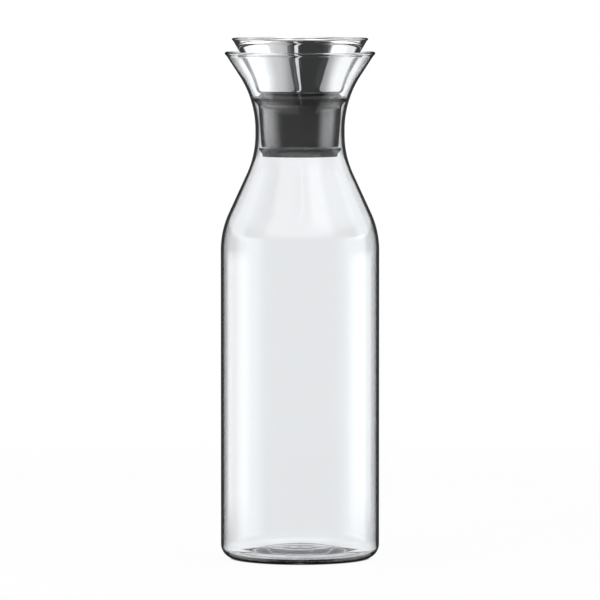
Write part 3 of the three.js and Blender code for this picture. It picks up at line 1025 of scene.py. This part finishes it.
@dataclass
class Studio:
    """The white surround, the panels that polished surfaces show, the floor, the lamp and the camera.

    The strips' sizes are in millimetres, and the floor's, the lamp's and the camera's in metres.
    """

    panels: tuple[Panel, ...] = (
        # the white card to the left, which fades towards the camera, and the slit beside it
        Panel(-133.0, -17.0, -70.0, -24.0, 0.26, fade_left=12.0, fade_right=5.0, lean_right=-0.95),
        Panel(-133.0, -103.0, -70.0, -24.0, 0.50, fade_left=12.0, fade_right=45.0),
        Panel(-133.0, -62.0, -70.0, -24.0, 0.38, fade_left=12.0, fade_right=50.0),
        Panel(1.0, 3.5, -70.0, -36.0, 0.8, fade_left=2.0, fade_right=2.0, lean_left=-0.7, lean_right=-0.45),
        # the white card to the right
        Panel(57.0, 135.0, -70.0, -24.0, 0.36, fade_left=3.0, fade_right=12.0, lean_left=1.5, level=-33.0),
        Panel(115.0, 135.0, -70.0, -24.0, 0.62, fade_left=58.0, fade_right=12.0, lean_left=0.8, level=-33.0),
        # the far ends of the cards, which only the funnel's rim shows
        Panel(
            -150.0, -130.0, -62.0, -24.0, 0.75, fade_left=8.0, fade_right=6.0, fade_up=2.0, lean_right=1.57
        ),
        Panel(130.0, 150.0, -62.0, -24.0, 0.75, fade_left=6.0, fade_right=8.0, fade_up=2.0, lean_left=-1.57),
        # the soft light in front that the neck shows
        Panel(-45.0, 45.0, 22.0, 44.0, 1.3, fade_left=20.0, fade_right=20.0, fade_up=8.0),
        # the white cards behind that the neck and the flare show at their sides
        Panel(-146.0, -105.0, 10.0, 30.0, 0.8, fade_left=6.0, fade_right=20.0, fade_up=3.0),
        Panel(105.0, 146.0, 10.0, 30.0, 0.8, fade_left=20.0, fade_right=6.0, fade_up=3.0),
        # the soft lamps overhead, and the pale light high up behind and to the right
        Panel(-75.0, 75.0, 66.0, 82.0, 2.4, fade_left=15.0, fade_right=15.0, fade_up=4.0),
        Panel(-180.0, -90.0, 40.0, 90.0, 0.8, fade_right=15.0, fade_up=20.0),
        Panel(30.0, 180.0, 40.0, 90.0, 0.8, fade_left=15.0, fade_up=20.0),
    )
    covered_panels: tuple[Panel, ...] = (
        # the upper edges of the white cards, which only the steel shows
        Panel(-133.0, -110.0, -19.0, -13.0, 1.14, fade_left=12.0, fade_right=14.0),
        Panel(104.0, 135.0, -19.0, -13.0, 0.98, fade_left=14.0, fade_right=12.0),
        # the upright lamps that the sleeve shows, and the bright surround that the floor of the glass shows
        Panel(-112.0, -92.0, -12.0, -2.5, 2.6, fade_left=18.0, fade_right=42.0, fade_up=1.5),
        Panel(78.0, 92.0, -12.0, -2.5, 2.4, fade_left=32.0, fade_right=30.0, fade_up=1.5),
        Panel(-180.0, 180.0, 3.0, 45.0, 0.85, fade_up=2.0),
    )
    # the near strips that only the straight body shows
    strips: tuple[Panel, ...] = (
        Panel(-114.0, -82.0, 24.0, 152.0, 1.0, fade_left=11.0, fade_right=18.0, fade_up=12.0, fade_down=40.0),
        Panel(82.0, 112.0, 24.0, 152.0, 1.0, fade_left=20.0, fade_right=6.0, fade_up=12.0, fade_down=40.0),
    )
    strip_strength: float = 1.4
    strip_distance: float = 180.0
    strip_bottom: float = -60.0
    strip_top: float = 170.0
    dark: float = 0.045  # what reflects between the panels
    ambient: float = 0.85  # what lights a matt surface
    floor_radius: float = 0.9
    floor_colour: Colour = (0.9, 0.9, 0.9, 1.0)
    shadow_share: float = 0.08
    shadow_fade: tuple[float, float] = (0.45, 0.855)  # the radii between which the shadow fades out
    painted_shadow_inner: float = 0.0285  # painted contact shadow: a dark ring in the floor's glow under the glass
    painted_shadow_outer: float = 0.0365
    painted_shadow_soft: float = 0.002
    painted_contact_shadow_tone: float = 0.08
    painted_shade_under_glass: float = 0.56  # painted shade in the floor's glow within that ring, which the glass's base shows
    lamp_watts: float = 3.0
    lamp_size: float = 0.5
    lamp_place: tuple[float, float, float] = (-0.55, -0.5, 0.95)
    lamp_aim: tuple[float, float, float] = (0.0, 0.0, 0.14)
    camera_back: float = 3.1146
    camera_height: float = 0.3337
    camera_pitch: float = 3.58  # degrees below the horizon
    camera_lens: float = 348.9  # millimetres, as the sensor
    camera_sensor: float = 36.0

    def world(self) -> None:
        """Makes the surround: white behind everything, and a ring of panels in what reflects."""
        world = bpy.data.worlds.new("studio")
        bpy.context.scene.world = world
        graph = Graph(world)
        x, y, z = graph.axes("Generated")
        azimuth, elevation = x.azimuth(y), z.arcsine()
        path = graph.add("ShaderNodeLightPath", {}, {})
        covered = path.sock("Transmission Depth") > BEHIND_GLASS
        pattern: Value = 0.0
        for panel in self.covered_panels:
            pattern = panel.light(azimuth, elevation) + pattern
        pattern = covered * pattern + self.dark
        for panel in self.panels:
            pattern = panel.light(azimuth, elevation) + pattern
        reflected = path.sock("Glossy Depth") > BOUNCED
        scattered = (path.sock("Diffuse Depth") > BOUNCED) * (1 - reflected)
        level = reflected * pattern + scattered * self.ambient + (1 - reflected) * (1 - scattered)
        background = graph.add("ShaderNodeBackground", {}, {"Color": WHITE, "Strength": level}).sock()
        graph.add("ShaderNodeOutputWorld", {}, {"Surface": background})

    def strip_wall(self) -> None:
        """Makes the near light strips: a clear wall that glows where they are, which only reflections show.

        The surface is (R cos t, R sin t, z) for the angles t and the heights z from its bottom to its top.
        """
        ring = circle(self.strip_distance, STUDIO_STEPS)
        heights = np.repeat([self.strip_bottom, self.strip_top], STUDIO_STEPS)
        points = np.column_stack([np.vstack([ring, ring]), heights])
        wall = _object("strip_wall", points, ring_faces(2, STUDIO_STEPS).tolist())
        material, graph = new_material("light_strips")
        x, y, z = graph.axes()
        azimuth, height = x.azimuth(y), z * (1 / MM)
        light: Value = 0.0
        for strip in self.strips:
            light = strip.light(azimuth, height) + light
        path = graph.add("ShaderNodeLightPath", {}, {})
        covered = path.sock("Transmission Depth") > BEHIND_GLASS
        reflected = (path.sock("Glossy Depth") > BOUNCED) - covered
        shown = graph.mix(light * reflected.max(0.0), BLACK, WHITE)
        glow = graph.add("ShaderNodeEmission", {}, {"Color": shown, "Strength": self.strip_strength}).sock()
        clear = graph.add("ShaderNodeBsdfTransparent", {}, {"Color": WHITE}).sock()
        graph.finish(graph.add("ShaderNodeAddShader", {}, {0: clear, 1: glow}).sock())
        wall.data.materials.append(material)
        wall.visible_camera = False
        wall.visible_diffuse = False
        wall.visible_shadow = False

    def floor(self) -> None:
        """Makes the pale floor. It has a faint soft shadow, and painted shadow and shade in its glow, dark
        only where the glass stands on it.
        """
        points = np.column_stack([circle(self.floor_radius / MM, STUDIO_STEPS), np.zeros(STUDIO_STEPS)])
        floor = _object("floor", points, [list(range(STUDIO_STEPS))])
        material, graph = new_material("pale_floor")
        x, y, _ = graph.axes()
        distance = x.hypot(y)
        # the glow carries painted shadow: a dark ring where the glass stands, and painted shade within it
        beyond_painted_shadow = distance.ease(self.painted_shadow_outer, self.painted_shadow_outer + self.painted_shadow_soft)
        under = 1 - distance.ease(self.painted_shadow_inner - self.painted_shadow_soft, self.painted_shadow_inner)
        tone = beyond_painted_shadow * (1 - self.painted_contact_shadow_tone) + self.painted_contact_shadow_tone
        tone = under * (self.painted_shade_under_glass - self.painted_contact_shadow_tone) + tone
        glow = graph.add("ShaderNodeEmission", {}, {"Color": graph.mix(tone, BLACK, WHITE)}).sock()
        lit = graph.add("ShaderNodeBsdfDiffuse", {}, {"Color": self.floor_colour}).sock()
        shadow = (1 - distance.ease(*self.shadow_fade)) * beyond_painted_shadow * self.shadow_share
        seen = graph.mix_shaders(shadow, glow, lit)
        unseen = graph.add("ShaderNodeBsdfTransparent", {}, {"Color": WHITE}).sock()
        reflected = graph.add("ShaderNodeLightPath", {}, {}).sock("Glossy Depth") > BOUNCED
        from_below = graph.add("ShaderNodeNewGeometry", {}, {}).sock("Backfacing")
        graph.finish(graph.mix_shaders(reflected + from_below, seen, unseen))
        floor.data.materials.append(material)
        floor.visible_diffuse = False

    def lamp(self) -> None:
        """Makes one large soft lamp above and to the left."""
        data = bpy.data.lights.new("soft_lamp", "AREA")
        data.energy = self.lamp_watts
        data.size = self.lamp_size
        lamp = bpy.data.objects.new("soft_lamp", data)
        lamp.location = self.lamp_place
        aim = np.array(self.lamp_aim) - np.array(self.lamp_place)
        pitch = math.atan2(math.hypot(aim[0], aim[1]), -aim[2])
        lamp.rotation_euler = (pitch, 0.0, math.atan2(-aim[0], aim[1]))
        lamp.visible_camera = False
        lamp.visible_glossy = False
        lamp.visible_transmission = False
        bpy.context.scene.collection.objects.link(lamp)

    def camera(self) -> None:
        """Places the camera: far back with a long lens, a little above and tilted down."""
        data = bpy.data.cameras.new("camera")
        data.sensor_width = self.camera_sensor
        data.lens = self.camera_lens
        camera = bpy.data.objects.new("camera", data)
        camera.location = (0.0, -self.camera_back, self.camera_height)
        camera.rotation_euler = (math.radians(90 - self.camera_pitch), 0.0, 0.0)
        bpy.context.scene.collection.objects.link(camera)
        bpy.context.scene.camera = camera

    def build(self) -> None:
        """Builds the whole studio."""
        bpy.context.scene.view_settings.view_transform = "Standard"
        self.camera()
        self.world()
        self.floor()
        self.strip_wall()
        self.lamp()
        log.info("studio: %d panels", len(self.panels))


def main() -> None:
    """Builds the carafe and its stopper, dresses them, and sets up the studio."""
    logging.basicConfig(level=logging.INFO, format="%(name)s: %(message)s")
    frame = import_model()
    glass = GlassCarafe()
    glass.build(ClearGlass())
    stopper = Stopper(glass, sleeve_top=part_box("seal_sleeve")[1].z / MM)
    stopper.build(PolishedSteel(), SATIN_SILICONE)
    nodes = frame["nodes"]
    plastic = SMOOTH_PLASTIC.material()
    for name in ("valve_housing", "throat_ring", "flip_lid"):
        coat(nodes[name], plastic)
    plain_steel = TurnedSteel().material()
    for name in ("lid_axle", "lid_weight"):
        coat(nodes[name], plain_steel)
    coat(nodes["lid_cap"], CAP_STEEL.material())
    Studio().build()


if __name__ == "__main__":
    main()
